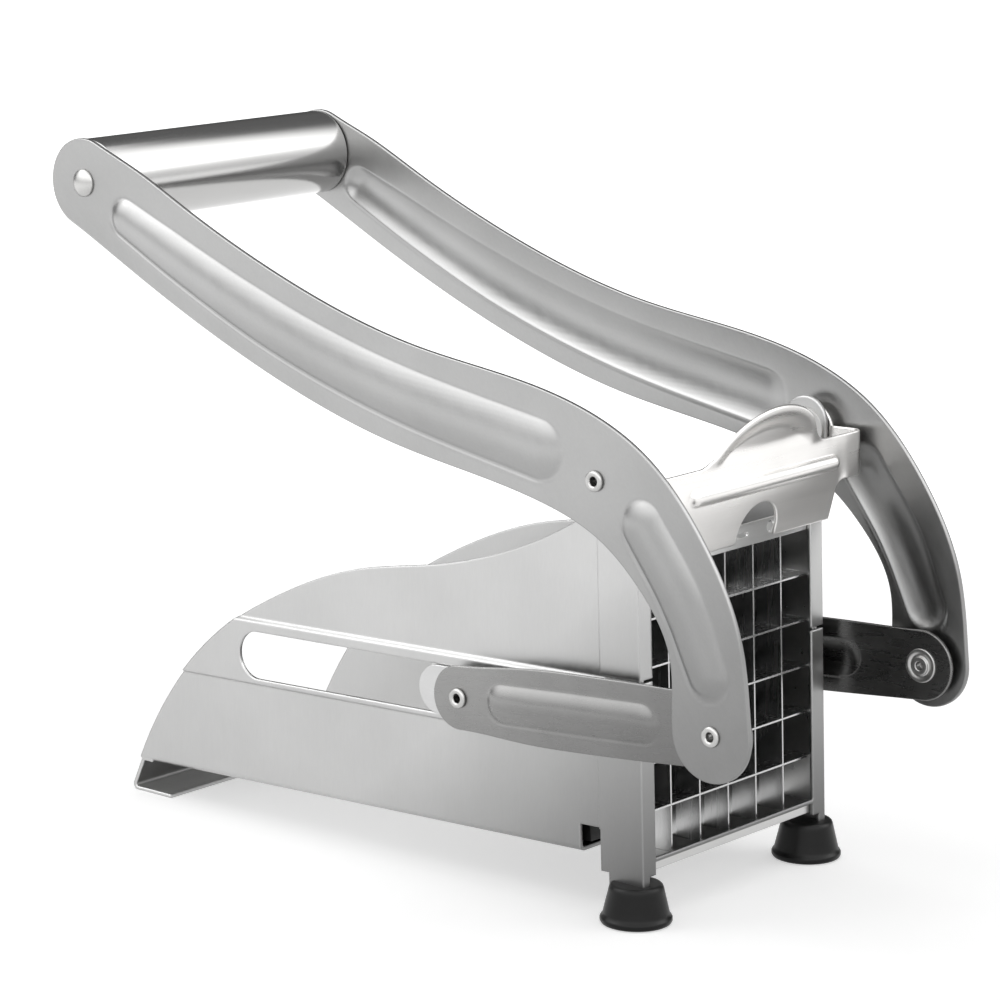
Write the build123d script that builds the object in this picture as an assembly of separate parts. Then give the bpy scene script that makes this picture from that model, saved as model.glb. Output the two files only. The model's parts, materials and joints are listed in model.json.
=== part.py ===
from build123d import *
import math
import os

# French fry cutter: a folded steel shell on a raked base, a blade cartridge between two front posts, and a
# pusher that a two-armed lever drives through a pair of links.
# Everything is modelled level, in the shell's own frame: u forward, y to the left, w up, with the table
# under the front feet at w = 0. The whole assembly is then raked and set down on its feet.
# All lengths are in millimetres and all angles in degrees.

# --- overall ---
rake = 2.1  # the shell rises towards the front by this angle
shell_half_width = 38.2  # outer face of the plain wall
shell_rear = -178.9  # rear edge of the floor
floor_height = 15.9  # underside of the floor
sheet = 1.0  # shell sheet
joggle = 1.2  # how far the slot band and the posts stand out from the wall

# --- cutting grid ---
cells = 6  # in each direction
cell_height = 12.5
blade_thick = 0.5
blade_depth = 10.0
edge_length = 2.2  # length of the ground cutting edge
blade_inset = 1.3  # from the cartridge's front face to the blades
blade_cover = 1.9  # of the frame past the blades, front and rear together
frame_sheet = 0.7
frame_lip = 5.9  # height of the top lip, above the grid
frame_hole = (18.3, 3.5)  # each round hole in the lip: from the middle, above the grid
frame_hole_radius = 1.7
frame_slot = (5.2, 3.1)  # each slot in the lip, measured in the same way
frame_slot_length = 6.4
frame_slot_height = 1.2
blade_tab = 4.0  # width of the tabs that pass through the frame
slit_gap = 0.1  # play of a blade in each slit
cartridge_gap = 0.2  # play of the cartridge between the walls and behind the flanges

# --- linkage, in the shell's frame ---
pivot_place = -1.9  # lever pivot
pivot_rise = 25.5  # from the top of the grid to the pivot
crank_pin = (33.1, 56.0)  # front end of the link
slider_pin = (-52.4, 53.1)  # rear end of the link, on the slot's centre line
handle_axis = (-181.4, 181.7)

# --- lever ---
arm_stand = 7.1  # from each post out to the arm
arm_thick = 1.5
arm_end_edge = 0.3  # past the tube at the handle
arm_tip_half = 11.9  # half width at the crank pin
rib_height = 2.0
rib_run = 3.2  # width of each rib's sloping flank
handle_radius = 12.0
handle_wall = 1.0
plug_length = 8.0
handle_pin_radius = 2.4
handle_head_radius = 3.6
handle_head_height = 1.8

# --- links ---
link_stand = 3.8  # from each post out to the link
link_thick = 1.2
link_rib_height = 1.6

# --- rivets ---
shank_radius = 1.9
rivet_bore = 1.15
rivet_head_radius = 2.7
rivet_head_height = 0.9
link_head_radius = 4.6  # head of the pin inside each link
running = 0.05  # radial clearance of a pin in a part that turns on it
side_play = 0.2  # axial gap between parts that turn on one pin
open_gap = 0.3  # gap between the two halves of the crank pin
washer_radius = 5.8
washer_thick = 1.0
spacer_radius = 4.6

# --- slot and slide ---
slot_height = 13.4
slot_rear = -136.9
slot_front = -15.0
shoe_rear = 17.3  # from the slider pin back to the end of the shoe
shoe_front = 14.0  # from the slider pin to the front end of the shoe
shoe_clearance = 0.15
shoe_proud = 0.9  # how far the shoe stands out of the slot
boss_radius = 4.2  # shoulder of the shoe and of the crank pin

# --- pusher ---
peg_length = 14.0
peg_side = 9.2
peg_taper = 1.5
block_thick = 7.5
lever_closed = 17.0  # the lever goes down by this angle
slide_per_radian = 65.0  # travel of the pusher for each radian of the lever
peg_past_blade = 0.8  # how far the pegs come out of the grid when the lever is down
pusher_clearance = 0.6
carrier_sheet = 1.5
carrier_arm_half = 8.4  # half height of the carrier's side arms
carrier_arm_corner = 6.0
carrier_arm_rear = 16.8  # from the slider pin back to the end of each side arm
carrier_inset = 0.2  # each side of the carrier is this far inside the block's
carrier_raise = 1.6  # from the floor to the carrier
carrier_drop = 3.0  # from the top of the grid down to the top of the carrier
carrier_corner = 4.0
block_corner = 2.0
screw_radius = 1.6
screw_head_radius = 3.0
screw_head_height = 1.8
screw_bite = 6.0
screw_places = [(y, w) for y in (-24.0, 24.0) for w in (30.0, 76.0)]

# --- front posts and ears ---
post_rear = -9.6
post_front = 4.2
post_bottom = 12.5
flange_width = 5.2
ear_rise = 8.8  # from the pivot to the top of the ear
ear_sheet = 1.2
ear_inset = 0.8  # the strap's rear edge lies this far in front of the post's
ear_seam = 0.9  # gap between the end of the post's flange and the strap
ear_shoulder = 1.0  # the round end starts this far above the pivot
ear_offset = 3.0  # how far the round ear stands out from the strap below it
ear_step_drop = (15.4, 12.4)  # the strap steps outwards between these depths below the pivot
bend_radius = 1.8

# --- walls, in (u, w) ---
rear_edge = [(-169.6, 33.1), (-158.8, 46.0)]  # rear edge of each wall, from the floor up
crease_height = 63.3  # the wing starts here
band_bottom = 44.3  # the slot band ends here
band_draft = 35.0  # slope of the step around the band
band_corner = 5.0  # radius where the band turns down into the post
wing_rear = -138.7
wing_edge = [(-120.4, 71.9), (-93.8, 81.4), (-65.1, 86.1), (-36.6, 93.7)]  # from the rear forward
wing_front = -9.0
wing_drop = 8.4  # from the pivot down to the top of the wing
notch_rear = -17.4
notch_top = 23.5
ledge_width = 3.4  # shelf at the foot of each post that the cartridge stands on
ledge_thick = 0.8

# --- feet ---
foot_height = 10.4
foot_base_radius = 8.9
foot_top_radius = 7.0
foot_lip = 0.5
foot_lip_band = (0.5, 1.6)  # heights between which the lip is full
foot_lip_top = 2.0
foot_bevel = 1.0  # around the top edge
foot_place = -0.4  # its centre, along the table
foot_inset = 2.4  # its centre is this far inside the post's outer face
foot_tab_rear = -7.0
foot_tab_bottom = 5.2
foot_tab_return = 2.6  # width of the tongue's folded front edge
rear_foot_length = 15.8
rear_foot_rake = 4.7  # how far the rear leg slopes back
rear_foot_inset = 0.4  # each side of the leg is this far inside the walls
rear_foot_lap = 4.0  # how far the fold reaches forward over the floor
rear_foot_bend = 1.6

# --- cap ---
cap_sheet = 1.0
cap_bend = 12.0  # radius of the soft bend at the knee
cap_seam = 3.0  # above the knee, where the plate and the cheeks are one sheet
cheek_drop = 2.8  # how far each cheek reaches below the knee
cheek_front = 4.0  # length of the cheek's lower edge
cap_front = 15.3
cap_height = 9.2  # from the knee up to the top edge
cap_knee_drop = 8.0  # from the pivot down to the knee, below which the plate leans back
cap_lip_back = 4.0  # the plate's lower edge, behind its front
cap_lip_rise = 3.7  # and above the grid
cap_side_gap = 0.4  # from the ear to the cap
cap_corner = 3.4  # radius of the cap's upright corners
cap_lip_half = 32.5
cap_boss = 7.0
cap_notch_radius = 8.5  # the round notch in the lower edge
cap_notch_share = 0.156  # place of its centre between the lip and the knee
bead_half_length = 31.5
bead_rise = 2.2  # above the knee
bead_radius = 2.3
bead_bevel = 1.2  # at each end of the bead
tab_edge = [(28.4, 0.0), (25.4, 0.4), (22.4, 2.0), (19.2, 5.8), (14.2, 9.9), (7.6, 12.8)]  # half outline
tab_height = 13.9  # along the tab
tab_lean = 22.0
dish_steps = [(0.8, 0.0), (0.66, 1.3), (0.42, 1.9)]  # share of the outline's size, depth
dish_sides = 22  # the dish is drawn with this many straight sides
dish_width = 0.94  # its width beside the outline's

post_half = shell_half_width + joggle  # outer face of the post and the slot band
grid_bottom = floor_height
grid_top = grid_bottom + cells * cell_height
cartridge_top = grid_top + frame_lip
pivot = (pivot_place, grid_top + pivot_rise)
cartridge_half = shell_half_width - sheet - cartridge_gap
grid_half = cartridge_half - frame_sheet
cell_width = 2 * grid_half / cells
slot_middle = slider_pin[1]
flange_back = post_front - sheet
cartridge_front = flange_back - cartridge_gap
cartridge_rear = cartridge_front - blade_depth - blade_cover
blade_front = cartridge_front - blade_inset
blade_rear = blade_front - blade_depth
peg_tip = blade_front + peg_past_blade - slide_per_radian * math.radians(lever_closed)
arm_inner = post_half + arm_stand  # inner face of each arm
arm_outer = arm_inner + arm_thick
arm_end_half = handle_radius + arm_end_edge
link_inner = post_half + link_stand  # inner face of each link
link_outer = link_inner + link_thick
grid_middle = (grid_top + grid_bottom) / 2
cartridge_floor = post_bottom + ledge_thick
blade_seat = (blade_front + blade_rear) / 2
block_front = peg_tip - peg_length
block_rear = block_front - block_thick
block_half = shell_half_width - sheet - pusher_clearance
carrier_half = block_half - carrier_inset
foot_centre = (foot_place, post_half - foot_inset)  # along X and Y, on the table
ear_top = pivot[1] + ear_rise
ear_step = tuple(pivot[1] - drop for drop in ear_step_drop)
wing_end = (wing_front, pivot[1] - wing_drop)
cap_knee = pivot[1] - cap_knee_drop
cap_top = cap_knee + cap_height
cap_lip = (cap_front - cap_lip_back, grid_top + cap_lip_rise)
bead_height = cap_knee + bead_rise
cap_inner = post_half + ear_offset + cap_side_gap
cap_half = cap_inner + cap_sheet
slab = 400.0  # longer than anything here


def side(outline, inner, outer):
    """An outline in (u, w) made solid between two distances from the middle, on the right-hand side."""
    return extrude(Plane.XZ.offset(inner) * outline, amount=outer - inner)


def both(solid):
    """The right-hand piece and its mirror image."""
    return solid, mirror(solid, about=Plane.XZ)


def polygon(*corners):
    """A flat face in (u, w) from its corners."""
    return make_face(Polyline(*corners, close=True))


def box(u0, u1, y0, y1, w0, w1):
    """A block between two corners."""
    block = Box(u1 - u0, y1 - y0, w1 - w0, align=(Align.MIN, Align.MIN, Align.MIN))
    return Pos(u0, y0, w0) * block


def pin(centre, radius, inner, outer):
    """A right-hand round bar along Y through a point in (u, w)."""
    return side(Pos(*centre) * Circle(radius), inner, outer)


def on_chord(start, end, share, bow):
    """A point a share of the way from start to end, moved sideways by bow."""
    du = end[0] - start[0]
    dw = end[1] - start[1]
    length = math.hypot(du, dw)
    return (start[0] + share * du - bow * dw / length, start[1] + share * dw + bow * du / length)


def ribbon(stations):
    """A strip with round ends from stations of (point, half width): two splines joined by two arcs."""
    points = [station[0] for station in stations]
    last = len(points) - 1
    left = []
    right = []
    along = []
    for i, (point, half) in enumerate(stations):
        before = points[max(i - 1, 0)]
        after = points[min(i + 1, last)]
        step = Vector(after[0] - before[0], after[1] - before[1]).normalized()
        out = Vector(-step.Y, step.X)
        centre = Vector(*point)
        left.append(centre + out * half)
        right.append(centre - out * half)
        along.append(step)
    start = Vector(*points[0]) - along[0] * stations[0][1]
    end = Vector(*points[last]) + along[last] * stations[last][1]
    upper = Spline(*left, tangents=(along[0], along[last]))
    lower = Spline(*right, tangents=(along[0], along[last]))
    nose = ThreePointArc(left[last], end, right[last])
    tail = ThreePointArc(right[0], start, left[0])
    return make_face([upper, nose, lower, tail])


# the soft flank of a pressed rib: share of its height, share of its run inwards
rib_flank = [(0.0, 0.0), (0.62, 0.42), (1.0, 1.0)]


def press_rib(plate, stations, inner, outer, height):
    """A rib pressed out of a plate: a soft-flanked boss outside, with the same shape sunk in behind."""
    sections = []
    for rise, run in rib_flank:
        shape = ribbon([(point, half - run * rib_run) for point, half in stations])
        sections.append(Plane.XZ.offset(outer + rise * height) * shape)
    boss = loft(sections, ruled=True)
    hollow = Pos(0, outer - inner, 0) * boss
    return plate + boss - hollow


def turned(profile, centre):
    """A right-hand piece turned about an axis along Y, from (radius, distance from the middle) corners."""
    corners = [(radius, -distance) for radius, distance in profile]
    return Pos(centre[0], 0, centre[1]) * revolve(make_face(Polyline(*corners, close=True)), Axis.Y)


def tubular_rivet(centre, inner, outer, inner_head=rivet_head_radius, outer_head=rivet_head_radius):
    """A hollow rivet between two faces, with a rolled head on each side that needs one."""
    low = inner - (rivet_head_height if inner_head else 0)
    high = outer + (rivet_head_height if outer_head else 0)
    profile = [(rivet_bore, low)]
    if inner_head:
        profile += [(inner_head, low), (inner_head, inner), (shank_radius, inner)]
    else:
        profile += [(shank_radius, low)]
    if outer_head:
        profile += [(shank_radius, outer), (outer_head, outer), (outer_head, high)]
    else:
        profile += [(shank_radius, high)]
    return turned(profile + [(rivet_bore, high)], centre)


# ---------- lever ----------

# stations of each arm: share of the reach or the crank, bow, half width
arm_rear = [
    (0.924, 1.4, 12.8),
    (0.819, 4.1, 13.0),
    (0.619, 7.7, 13.2),
    (0.333, 6.1, 13.7),
    (0.078, -1.3, 14.1),
]
arm_front = [(0.105, 5.5, 13.5), (0.394, 10.7, 12.2), (0.716, 9.6, 11.3)]
long_rib = [(0.906, 2.9, 5.2), (0.81, 4.9, 6.0), (0.619, 7.8, 6.9), (0.333, 6.1, 7.4), (0.101, 0.0, 7.7)]
short_rib = [(0.228, 8.0, 6.5), (0.541, 9.4, 6.6), (0.805, 7.1, 6.0)]


def arm():
    """One lever arm: a curved strip from the handle past the pivot to the crank pin, with two ribs."""
    stations = [(handle_axis, arm_end_half)]
    for share, bow, half in arm_rear:
        stations.append((on_chord(pivot, handle_axis, share, bow), half))
    for share, bow, half in arm_front:
        stations.append((on_chord(pivot, crank_pin, share, bow), half))
    stations.append((crank_pin, arm_tip_half))
    plate = side(ribbon(stations), arm_inner, arm_outer)
    upper = [(on_chord(pivot, handle_axis, share, bow), half) for share, bow, half in long_rib]
    lower = [(on_chord(pivot, crank_pin, share, bow), half) for share, bow, half in short_rib]
    plate = press_rib(plate, upper, arm_inner, arm_outer, rib_height)
    plate = press_rib(plate, lower, arm_inner, arm_outer, rib_height)
    plate -= pin(pivot, shank_radius + running, arm_inner - 1, arm_outer + 1)
    plate -= pin(crank_pin, shank_radius, arm_inner - 1, arm_outer + 1)
    plate -= pin(handle_axis, handle_pin_radius, arm_inner - 1, arm_outer + 1)
    return plate


def handle_tube():
    """The grip: a plain tube between the two arms."""
    outside = pin(handle_axis, handle_radius, -arm_inner, arm_inner)
    return outside - pin(handle_axis, handle_radius - handle_wall, -arm_inner - 1, arm_inner + 1)


def handle_plug():
    """A plug that closes the tube's end and takes the handle rivet."""
    plug = pin(handle_axis, handle_radius - handle_wall, arm_inner - plug_length, arm_inner)
    return plug - pin(handle_axis, handle_pin_radius, arm_inner - plug_length - 1, arm_inner + 1)


def handle_rivet():
    """A solid rivet with a domed head outside the arm."""
    shank = pin(handle_axis, handle_pin_radius, arm_inner - plug_length, arm_outer)
    ball = (handle_head_radius**2 + handle_head_height**2) / (2 * handle_head_height)
    centre = Pos(handle_axis[0], -(arm_outer + handle_head_height - ball), handle_axis[1])
    head = centre * Sphere(ball) & pin(handle_axis, handle_head_radius, arm_outer, arm_outer + slab)
    return shank + head


# ---------- links ----------

# stations of each link: share of its length, half width
link_stations = [(0.0, 8.6), (0.25, 9.9), (0.5, 10.2), (0.75, 9.9), (1.0, 9.5)]
link_rib_stations = [(0.175, 5.1), (0.45, 5.2), (0.71, 5.1)]


def link():
    """One link: a strip from the slide shoe to the crank pin, with one rib."""
    outline = ribbon([(on_chord(slider_pin, crank_pin, share, 0), half) for share, half in link_stations])
    plate = side(outline, link_inner, link_outer)
    rib = [(on_chord(slider_pin, crank_pin, share, 0), half) for share, half in link_rib_stations]
    plate = press_rib(plate, rib, link_inner, link_outer, link_rib_height)
    plate -= pin(slider_pin, shank_radius + running, link_inner - 1, link_outer + 1)
    plate -= pin(crank_pin, shank_radius, link_inner - 1, link_outer + 1)
    return plate


# ---------- shell ----------

def wall_outline():
    """The side wall seen square on, from the rear edge to the front fold."""
    rear = Spline((shell_rear - 1.0, floor_height), *rear_edge, (wing_rear, crease_height - 0.8))
    top = Spline((wing_rear, crease_height - 0.8), *wing_edge, wing_end)
    rest = Polyline(
        wing_end,
        (flange_back - 0.1, wing_end[1]),
        (flange_back - 0.1, crease_height),
        (post_front, crease_height),
        (post_front, foot_tab_bottom),
        (foot_tab_rear, foot_tab_bottom),
        (foot_tab_rear, post_bottom),
        (post_rear, post_bottom),
        (post_rear, notch_top),
        (notch_rear, notch_top),
        (notch_rear, floor_height),
        (shell_rear - 1.0, floor_height),
    )
    return make_face([rear, top, rest])


def band_outline():
    """The slot band and the post under it, drawn past the wall's edges, with a round inner corner."""
    shape = polygon(
        (shell_rear - 60, crease_height),
        (slab, crease_height),
        (slab, -20),
        (post_rear - joggle, -20),
        (post_rear - joggle, band_bottom),
        (shell_rear - 60, band_bottom),
    )
    corner = shape.vertices().sort_by_distance((post_rear - joggle, band_bottom))[0]
    return fillet(corner, band_corner)


def wall():
    """What the right-hand wall has beyond plain sheet: pressed-out band and post, flange and ledge."""
    outline = wall_outline()
    raised = extrude(Plane.XZ.offset(shell_half_width) * band_outline(), amount=joggle, taper=band_draft)
    raised &= side(outline, shell_half_width, post_half)
    flange = box(flange_back, post_front, -post_half, flange_width - post_half, post_bottom, crease_height)
    ledge = box(post_rear, post_front, -post_half, ledge_width - post_half, post_bottom, cartridge_floor)
    fold = foot_tab_return - post_half
    tongue = box(flange_back, post_front, -post_half, fold, foot_tab_bottom, post_bottom)
    return raised, flange + ledge + tongue


def tray():
    """Floor and walls as one bent sheet, cut to the outline of the walls seen from the side."""
    half = shell_half_width
    line = FilletPolyline(
        (-half, slab),
        (-half, floor_height),
        (half, floor_height),
        (half, slab),
        radius=bend_radius,
    )
    section = make_face(offset(line, sheet, side=Side.LEFT))
    bent = extrude(Plane.YZ.offset(-slab) * section, amount=2 * slab)
    return bent & side(wall_outline(), -half, half)


def slot_outline():
    """The slot that the shoe slides in, with round ends."""
    length = slot_front - slot_rear
    middle = (slot_front + slot_rear) / 2
    return Pos(middle, slot_middle) * SlotOverall(length, slot_height)


def raked(solid):
    """A piece of the shell's frame where it lies once the shell is raked."""
    return Rot(0, -rake, 0) * solid


def raked_point(point):
    """Where a point in (u, w) lies once the shell is raked, as (x, z)."""
    c = math.cos(math.radians(rake))
    s = math.sin(math.radians(rake))
    return (point[0] * c - point[1] * s, point[0] * s + point[1] * c)


def folded(points, thickness, radius):
    """The section of a bent sheet: a line with round bends, thickened to its left."""
    line = FilletPolyline(*points, radius=radius)
    return make_face(offset(line, thickness, side=Side.LEFT))


def rear_foot():
    """The fold at the rear of the floor: a leg down to the table and a lip turned forward, level."""
    x, z = raked_point((shell_rear, floor_height + sheet))
    heel = x - rear_foot_rake
    points = [(x + rear_foot_lap, z), (x, z), (heel, 0), (heel + rear_foot_length, 0)]
    section = folded(points, sheet, rear_foot_bend)
    half = shell_half_width - rear_foot_inset
    return side(section, -half, half)


def body_shell():
    """The folded shell: floor, two walls with slots, posts with flanges, and the rear foot."""
    raised, edges = wall()
    sunk = Pos(0, sheet, 0) * raised & box(-slab, flange_back, -slab, 0, -slab, slab)
    level = tray()
    level += raised
    level += mirror(raised, about=Plane.XZ)
    level -= sunk
    level -= mirror(sunk, about=Plane.XZ)
    level += edges
    level += mirror(edges, about=Plane.XZ)
    level -= side(slot_outline(), -slab, slab)
    throat = shell_half_width - sheet
    level -= box(post_rear - 0.4, flange_back, -throat, throat, 0, floor_height + 2)
    return raked(level) + rear_foot()


def ear_bracket():
    """The strap on the wing: an L-section that rises past the wing into the round pivot ear."""
    rear = post_rear + ear_inset
    shoulder = pivot[1] + ear_shoulder
    foot = crease_height + ear_seam
    outline = make_face(
        [
            Polyline(
                (rear, shoulder),
                (rear, foot),
                (post_front, foot),
                (post_front, shoulder),
            ),
            ThreePointArc((post_front, shoulder), ((rear + post_front) / 2, ear_top), (rear, shoulder)),
        ]
    )
    inner = -shell_half_width
    line = [(inner, 0), (inner, ear_step[0]), (inner - ear_offset, ear_step[1]), (inner - ear_offset, slab)]
    section = make_face(offset(FilletPolyline(*line, radius=bend_radius), ear_sheet, side=Side.LEFT))
    strip = extrude(Plane.YZ.offset(-slab) * section, amount=2 * slab)
    plate = strip & side(outline, 0, slab)
    outer = shell_half_width + ear_sheet
    top = ear_step[0] - bend_radius
    plate += box(flange_back, post_front, -outer, flange_width - outer, foot, top)
    return plate - pin(pivot, shank_radius, shell_half_width - 1, slab)


# ---------- feet ----------

def rubber_foot(shell):
    """A tapered rubber foot with a small lip at its base, pushed onto the tongue of the post."""
    section = Polyline(
        (0, 0),
        (foot_base_radius, 0),
        (foot_base_radius + foot_lip, foot_lip_band[0]),
        (foot_base_radius + foot_lip, foot_lip_band[1]),
        (foot_base_radius, foot_lip_top),
        (foot_top_radius, foot_height - foot_bevel),
        (foot_top_radius - foot_bevel, foot_height),
        (0, foot_height),
        close=True,
    )
    foot = revolve(Plane.XZ * make_face(section), Axis.Z)
    return Pos(foot_centre[0], -foot_centre[1], 0) * foot - shell


# ---------- cartridge ----------

def crossings(pitch):
    """Places of the blades across the grid, measured from its middle."""
    return [(i - cells / 2) * pitch for i in range(1, cells)]


def frame_holes(front):
    """Cutters for the round holes and the slots in the top lip."""
    shapes = []
    slot = SlotOverall(frame_slot_length, frame_slot_height)
    for edge in (-1, 1):
        shapes.append(Pos(edge * frame_hole[0], grid_top + frame_hole[1]) * Circle(frame_hole_radius))
        shapes.append(Pos(edge * frame_slot[0], grid_top + frame_slot[1]) * slot)
    return [extrude(Plane.YZ.offset(front - 1) * shape, amount=frame_sheet + 2) for shape in shapes]


def blade_frame():
    """The cartridge's frame: a sheet ring with a deep top lip and a small bottom lip, slit for the tabs."""
    inner = grid_half
    outer = cartridge_half
    low = grid_bottom - frame_sheet
    front = cartridge_front - frame_sheet
    ring = box(cartridge_rear, cartridge_front, -outer, outer, low, grid_top + frame_sheet)
    ring -= box(cartridge_rear - 1, cartridge_front + 1, -inner, inner, grid_bottom, grid_top)
    ring += box(front, cartridge_front, -outer, outer, cartridge_floor, grid_bottom)
    ring += box(front, cartridge_front, -outer, outer, grid_top, cartridge_top)
    half = blade_thick / 2 + slit_gap
    reach = blade_tab / 2 + slit_gap
    u0 = blade_seat - reach
    u1 = blade_seat + reach
    slits = []
    for place in crossings(cell_width):
        slits.append(box(u0, u1, place - half, place + half, low - 1, grid_bottom))
        slits.append(box(u0, u1, place - half, place + half, grid_top, grid_top + 2))
    for place in crossings(cell_height):
        level = grid_middle + place
        slits.append(box(u0, u1, -outer - 1, -inner, level - half, level + half))
        slits.append(box(u0, u1, inner, outer + 1, level - half, level + half))
    return ring - slits - frame_holes(front)


def blade(half_length, laps, rear_laps):
    """One blade lying along Y: ground to an edge at the rear, tabbed at each end, with half-lap slots."""
    half = blade_thick / 2
    section = polygon(
        (blade_rear, 0),
        (blade_rear + edge_length, half),
        (blade_front, half),
        (blade_front, -half),
        (blade_rear + edge_length, -half),
    )
    strip = side(section, -half_length, half_length)
    reach = half_length + frame_sheet
    strip += box(blade_seat - blade_tab / 2, blade_seat + blade_tab / 2, -reach, reach, -half, half)
    low, high = (blade_rear - 1, blade_seat) if rear_laps else (blade_seat, blade_front + 1)
    gap = half + slit_gap / 2
    return strip - [box(low, high, place - gap, place + gap, -2, 2) for place in laps]


def level_blades():
    """The blades that lie across, one above another."""
    strip = blade(grid_half, crossings(cell_width), True)
    return Compound([Pos(0, 0, grid_middle + place) * strip for place in crossings(cell_height)])


def upright_blades():
    """The blades that stand, side by side."""
    strip = Rot(90, 0, 0) * blade(cells * cell_height / 2, crossings(cell_height), False)
    return Compound([Pos(0, place, grid_middle) * strip for place in crossings(cell_width)])


# ---------- pusher ----------

def pusher_block():
    """The plastic pusher: a thick plate with one tapered square peg for each cell."""
    low = floor_height + sheet + pusher_clearance
    high = grid_top - pusher_clearance
    plate = box(block_rear, block_front, -block_half, block_half, low, high)
    plate = fillet(plate.edges().filter_by(Axis.X), block_corner)
    tip = peg_length * math.tan(math.radians(peg_taper))
    ends = (peg_side, peg_length, peg_side, tip, tip, peg_side - tip, peg_side - tip)
    peg = Rot(0, 0, -90) * Pos(0, peg_length / 2, 0) * Wedge(*ends)
    places = [i - (cells - 1) / 2 for i in range(cells)]
    pegs = []
    for i in places:
        for j in places:
            pegs.append(Pos(block_front, i * cell_width, grid_middle + j * cell_height) * peg)
    holes = []
    for y, w in screw_places:
        hole = Rot(0, 90, 0) * Cylinder(screw_radius, screw_bite)
        holes.append(Pos(block_rear + screw_bite / 2, y, w) * hole)
    return plate + pegs - holes


def pusher_carrier():
    """The steel carrier: a plate behind the block with an arm bent back along each wall."""
    rear = block_rear - carrier_sheet
    low = floor_height + sheet + carrier_raise
    plate = box(rear, block_rear, -carrier_half, carrier_half, low, grid_top - carrier_drop)
    plate = fillet(plate.edges().filter_by(Axis.X), carrier_corner)
    arm_rear_end = slider_pin[0] - carrier_arm_rear
    for sign in (-1, 1):
        inner = sign * (carrier_half - carrier_sheet)
        outer = sign * carrier_half
        low_w = slot_middle - carrier_arm_half
        high_w = slot_middle + carrier_arm_half
        bar = box(arm_rear_end, rear, min(inner, outer), max(inner, outer), low_w, high_w)
        corners = bar.edges().filter_by(Axis.Y).group_by(Axis.X)[0]
        plate += fillet(corners, carrier_arm_corner)
    for y, w in screw_places:
        plate -= Pos(rear, y, w) * Rot(0, 90, 0) * Cylinder(screw_radius, 10)
    hole = pin(slider_pin, shank_radius, -carrier_half - 1, carrier_half + 1)
    return plate - hole


def pusher_screws():
    """Four pan head screws that hold the block on its carrier."""
    rear = block_rear - carrier_sheet
    screws = []
    for y, w in screw_places:
        head = Cylinder(screw_head_radius, screw_head_height)
        length = carrier_sheet + screw_bite
        shank = Pos(0, 0, -(screw_head_height + length) / 2) * Cylinder(screw_radius, length)
        screws.append(Pos(rear - screw_head_height / 2, y, w) * Rot(0, -90, 0) * (head + shank))
    return Compound(screws)


def slide_shoe():
    """The shoe that runs in the slot, with the turned boss that the link sits on."""
    length = shoe_rear + shoe_front
    middle = slider_pin[0] + (shoe_front - shoe_rear) / 2
    height = slot_height - 2 * shoe_clearance
    outline = Pos(middle, slot_middle) * SlotOverall(length, height)
    shoe = side(outline, carrier_half, post_half + shoe_proud)
    shoe += pin(slider_pin, boss_radius, post_half + shoe_proud, link_inner - side_play)
    return shoe - pin(slider_pin, shank_radius, carrier_half - 1, link_outer)


# ---------- cap ----------

def cap_cheeks():
    """The upper part of the cap: one sheet bent round both corners, cut to the cheeks' outline."""
    tail = pivot[0] - cap_boss - 1
    line = FilletPolyline(
        (tail, -cap_half),
        (cap_front, -cap_half),
        (cap_front, cap_half),
        (tail, cap_half),
        radius=cap_corner,
    )
    bent = extrude(make_face(offset(line, cap_sheet, side=Side.LEFT)), amount=slab)
    cheek = polygon(
        (cap_front + 1, cap_top),
        (cap_front + 1, cap_knee - cheek_drop),
        (cap_front - cheek_front, cap_knee - cheek_drop),
        (pivot[0], pivot[1] - cap_boss),
        (pivot[0], cap_top),
    )
    cheek += Pos(*pivot) * Circle(cap_boss)
    bent &= side(cheek, -slab, slab)
    bent -= box(cap_front - 2, cap_front + 1, -cap_lip_half, cap_lip_half, 0, cap_knee + cap_seam)
    return bent - pin(pivot, shank_radius + running, -slab, slab)


def blade_cap():
    """The cap: a bent front plate over the cartridge with two cheeks that turn on the lever's pivot."""
    section = folded([cap_lip, (cap_front, cap_knee), (cap_front, cap_top)], cap_sheet, cap_bend)
    cap = cap_cheeks() + side(section, -cap_lip_half, cap_lip_half)
    cap += bead()
    cap += thumb_tab()
    run = cap_notch_share
    middle = (cap_lip[0] + run * (cap_front - cap_lip[0]), 0, cap_lip[1] + run * (cap_knee - cap_lip[1]))
    slope = math.degrees(math.atan2(cap_knee - cap_lip[1], cap_front - cap_lip[0]))
    return cap - Pos(*middle) * Rot(0, 90 + 90 - slope, 0) * Cylinder(cap_notch_radius, 4 * cap_sheet)


def bead():
    """The half-round bead across the cap's front."""
    bar = Pos(cap_front - 0.5, 0, bead_height) * Rot(90, 0, 0) * Cylinder(bead_radius, 2 * bead_half_length)
    bar = chamfer(bar.edges(), bead_bevel)
    return bar & box(cap_front - 0.5, cap_front + slab, -slab, slab, 0, slab)


def tab_curve():
    """The tab's free edge, from root to root."""
    left = [(-y, w) for y, w in reversed(tab_edge)]
    return Spline(*tab_edge, (0, tab_height), *left)


def dish_outline(share):
    """A many-sided oval of a share of the tab's size, about a point a third of the way up."""
    curve = tab_curve()
    corners = [curve @ (i / dish_sides) for i in range(1, dish_sides)]
    oval = [(share * c.X * dish_width, share * c.Y + tab_height / 3 * (1 - share)) for c in corners]
    return make_face(Polyline(*oval, close=True))


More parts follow.
